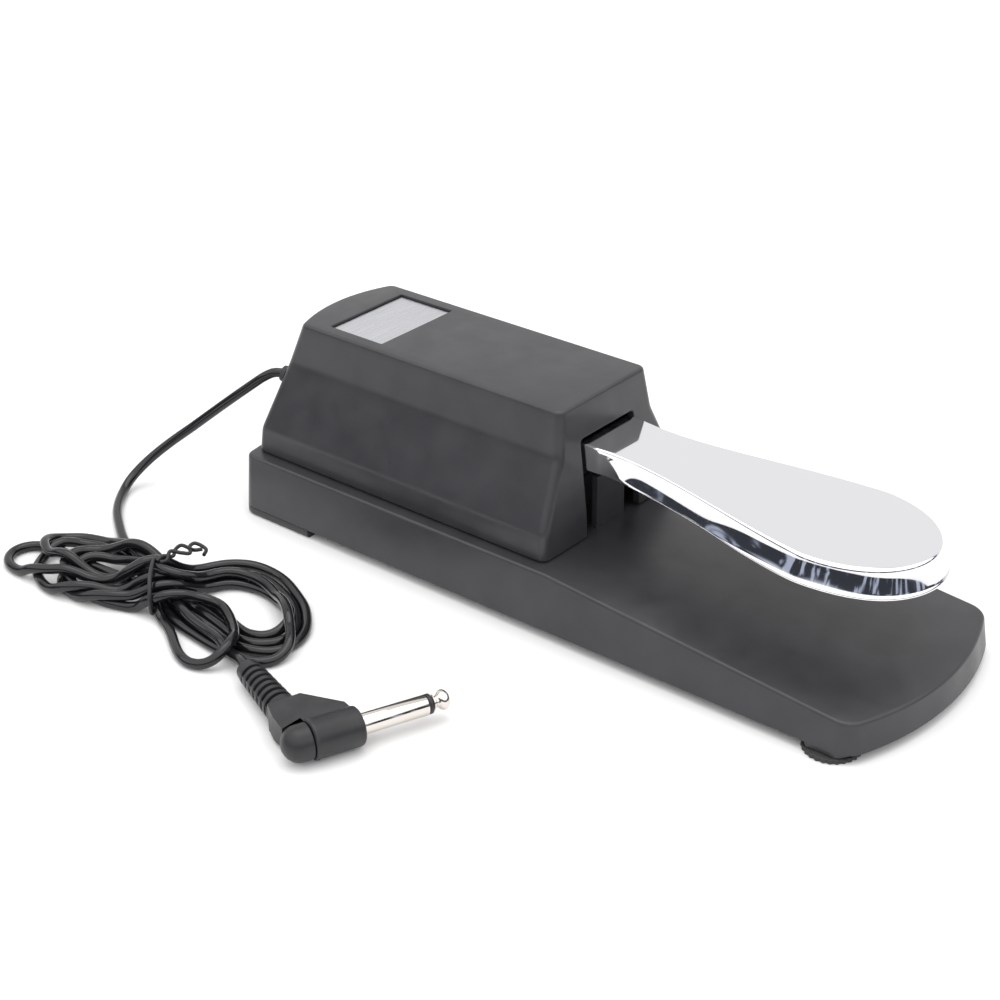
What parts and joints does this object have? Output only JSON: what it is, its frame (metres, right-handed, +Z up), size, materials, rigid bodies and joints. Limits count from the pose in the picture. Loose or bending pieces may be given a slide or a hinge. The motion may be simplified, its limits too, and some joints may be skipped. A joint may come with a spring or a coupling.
{
  "type": "sustain pedal",
  "caption": "Piano-style sustain pedal: chromed paddle lever in a black moulded housing with a rubber-footed wedge base, fixed cord tied in a hank and right-angle jack plug.",
  "frame": {"origin": "on the floor under the centre of the housing's base, the cord and plug left out", "axes": "+X across the width, +Y from the paddle towards the end where the cord leaves, +Z up"},
  "size_m": [0.1837, 0.2918, 0.0672],
  "materials": {
    "housing": "satin moulded plastic, dark charcoal",
    "chrome": "polished chrome plate",
    "zinc": "zinc-plated steel",
    "steel": "bare steel",
    "rubber": "matt black rubber",
    "nylon": "natural nylon",
    "badge": "brushed plate, plain",
    "board": "green lacquered board",
    "switch": "black switch body",
    "button": "red plunger",
    "cord": "glossy black PVC",
    "plug": "matt black moulding",
    "nickel": "nickel plate"
  },
  "bodies": {
    "base": {"base_shell": "housing", "hood": "housing", "pivot_bracket": "zinc", "bottom_plate": "zinc", "bottom_screw_1": "zinc", "bottom_screw_2": "zinc", "bottom_screw_3": "zinc", "bottom_screw_4": "zinc", "bottom_screw_5": "zinc", "bottom_screw_6": "zinc", "hood_screw_1": "zinc", "hood_screw_2": "zinc", "hood_screw_3": "zinc", "hood_screw_4": "zinc", "foot_screw_left": "zinc", "foot_screw_right": "zinc", "bracket_screw_1": "zinc", "bracket_screw_2": "zinc", "board_screw_left": "zinc", "board_screw_right": "zinc", "clip_screw": "zinc", "axle_pin": "steel", "axle_clip": "steel", "return_spring": "steel", "rear_pad": "rubber", "front_foot_left": "rubber", "front_foot_right": "rubber", "down_stop_bumper": "rubber", "up_stop_bumper": "rubber", "cable_grommet": "rubber", "spring_seat": "nylon", "cable_clip": "nylon", "badge_plate": "badge", "switch_board": "board", "switch_body": "switch", "cord_lead": "cord", "cord_hank": "cord", "cord_tail": "cord", "inner_lead": "cord", "plug_boot": "plug", "plug_body": "plug", "plug_end_cap": "plug", "jack_insulator": "plug", "wire_tie": "plug", "jack_sleeve": "nickel", "jack_tip": "nickel"},
    "pedal": {"pedal": "chrome", "lever_arm": "zinc", "pedal_screw_1": "zinc", "pedal_screw_2": "zinc", "pivot_bush_left": "nylon", "pivot_bush_right": "nylon"},
    "plunger": {"switch_plunger": "button"}
  },
  "joints": [
    {"name": "pedal_hinge", "type": "hinge", "parent": "base", "child": "pedal", "pos_m": [0, 0.062, 0.04], "axis": [1, 0, 0], "range_deg": [0, 7], "stiffness_Nm_per_rad": 12, "springref_deg": -5.73, "deforming": ["return_spring"]},
    {"name": "plunger_slide", "type": "slide", "parent": "base", "child": "plunger", "axis": [0, 0, -1], "range_m": [0, 0.002]}
  ],
  "couplings": [
    {"joint": "plunger_slide", "follows": "pedal_hinge", "m_per_rad": 0.016}
  ]
}
